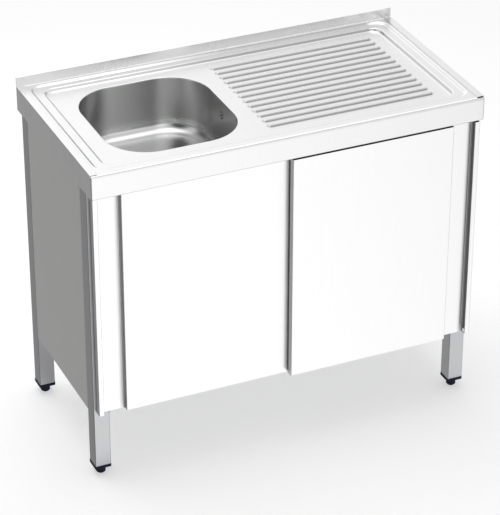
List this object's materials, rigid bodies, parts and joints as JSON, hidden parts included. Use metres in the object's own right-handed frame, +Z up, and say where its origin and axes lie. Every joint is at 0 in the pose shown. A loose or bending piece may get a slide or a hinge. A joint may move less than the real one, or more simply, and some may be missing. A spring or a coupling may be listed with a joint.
{
  "type": "sink cabinet",
  "caption": "Stainless steel sink cabinet: pressed worktop with bowl on the left and ribbed drainer, upstand at the back, sliding doors with handle channels, square legs on screw feet.",
  "frame": {"origin": "on the floor, under the middle of the cabinet's outline", "axes": "+X to the right seen from the front, along the worktop's length; +Y from the doors to the back; +Z up"},
  "size_m": [1, 0.5, 0.866],
  "materials": {
    "worktop_steel": "fine brushed satin, bright",
    "bowl_steel": "smooth satin, pressed",
    "fittings_steel": "bright plated",
    "frame_steel": "satin tube",
    "panel_steel": "satin sheet",
    "door_steel": "fine brushed satin, bright",
    "track_steel": "rolled profile",
    "door_board": "light fibreboard",
    "blue_plastic": "moulded, satin",
    "pale_plastic": "moulded, satin",
    "rubber": "matt"
  },
  "bodies": {
    "cabinet": {"worktop": "worktop_steel", "bowl": "bowl_steel", "drainer_stiffener_front": "frame_steel", "drainer_stiffener_back": "frame_steel", "waste_strainer": "fittings_steel", "waste_screw": "fittings_steel", "waste_gasket": "rubber", "waste_body": "pale_plastic", "overflow_gasket": "rubber", "overflow_housing": "pale_plastic", "overflow_pipe": "pale_plastic", "leg_front_left": "frame_steel", "leg_front_right": "frame_steel", "leg_back_left": "frame_steel", "leg_back_right": "frame_steel", "leg_plug_front_left": "blue_plastic", "leg_plug_front_right": "blue_plastic", "leg_plug_back_left": "blue_plastic", "leg_plug_back_right": "blue_plastic", "side_panel_left": "panel_steel", "side_panel_right": "panel_steel", "back_panel": "panel_steel", "bottom_shelf": "panel_steel", "shelf_stiffener": "frame_steel", "side_rail_left": "frame_steel", "side_rail_right": "frame_steel", "back_rail": "frame_steel", "front_rail": "track_steel", "door_track": "track_steel", "track_screws": "fittings_steel", "rail_screws": "fittings_steel", "track_stops": "rubber", "door_guide": "pale_plastic", "guide_rivets": "fittings_steel"},
    "left_door": {"left_door_front": "door_steel", "left_door_back": "door_steel", "left_door_core": "door_board", "left_hangers": "track_steel", "left_axle_pins": "fittings_steel", "left_door_rivets": "fittings_steel"},
    "right_door": {"right_door_front": "door_steel", "right_door_back": "door_steel", "right_door_core": "door_board", "right_hangers": "track_steel", "right_axle_pins": "fittings_steel", "right_door_rivets": "fittings_steel"},
    "left_roller_outer": {"left_roller_outer": "pale_plastic"},
    "left_roller_inner": {"left_roller_inner": "pale_plastic"},
    "right_roller_outer": {"right_roller_outer": "pale_plastic"},
    "right_roller_inner": {"right_roller_inner": "pale_plastic"},
    "foot_front_left": {"foot_front_left": "blue_plastic"},
    "foot_front_right": {"foot_front_right": "blue_plastic"},
    "foot_back_left": {"foot_back_left": "blue_plastic"},
    "foot_back_right": {"foot_back_right": "blue_plastic"}
  },
  "joints": [
    {"name": "left_door_slide", "type": "slide", "parent": "cabinet", "child": "left_door", "axis": [1, 0, 0], "range_m": [0, 0.385]},
    {"name": "right_door_slide", "type": "slide", "parent": "cabinet", "child": "right_door", "axis": [-1, 0, 0], "range_m": [0, 0.385]},
    {"name": "left_roller_outer_spin", "type": "hinge", "parent": "left_door", "child": "left_roller_outer", "pos_m": [-0.3959, -0.2193, 0.8008], "axis": [0, 1, 0], "range_deg": [0, 2460]},
    {"name": "left_roller_inner_spin", "type": "hinge", "parent": "left_door", "child": "left_roller_inner", "pos_m": [-0.0711, -0.2193, 0.8008], "axis": [0, 1, 0], "range_deg": [0, 2460]},
    {"name": "right_roller_outer_spin", "type": "hinge", "parent": "right_door", "child": "right_roller_outer", "pos_m": [0.3959, -0.2403, 0.8008], "axis": [0, -1, 0], "range_deg": [0, 2460]},
    {"name": "right_roller_inner_spin", "type": "hinge", "parent": "right_door", "child": "right_roller_inner", "pos_m": [0.0951, -0.2403, 0.8008], "axis": [0, -1, 0], "range_deg": [0, 2460]},
    {"name": "foot_front_left_height", "type": "slide", "parent": "cabinet", "child": "foot_front_left", "axis": [0, 0, -1], "range_m": [0, 0.025]},
    {"name": "foot_front_right_height", "type": "slide", "parent": "cabinet", "child": "foot_front_right", "axis": [0, 0, -1], "range_m": [0, 0.025]},
    {"name": "foot_back_left_height", "type": "slide", "parent": "cabinet", "child": "foot_back_left", "axis": [0, 0, -1], "range_m": [0, 0.025]},
    {"name": "foot_back_right_height", "type": "slide", "parent": "cabinet", "child": "foot_back_right", "axis": [0, 0, -1], "range_m": [0, 0.025]}
  ],
  "couplings": [
    {"joint": "left_roller_outer_spin", "follows": "left_door_slide", "rad_per_m": 111.11},
    {"joint": "left_roller_inner_spin", "follows": "left_door_slide", "rad_per_m": 111.11},
    {"joint": "right_roller_outer_spin", "follows": "right_door_slide", "rad_per_m": 111.11},
    {"joint": "right_roller_inner_spin", "follows": "right_door_slide", "rad_per_m": 111.11}
  ]
}
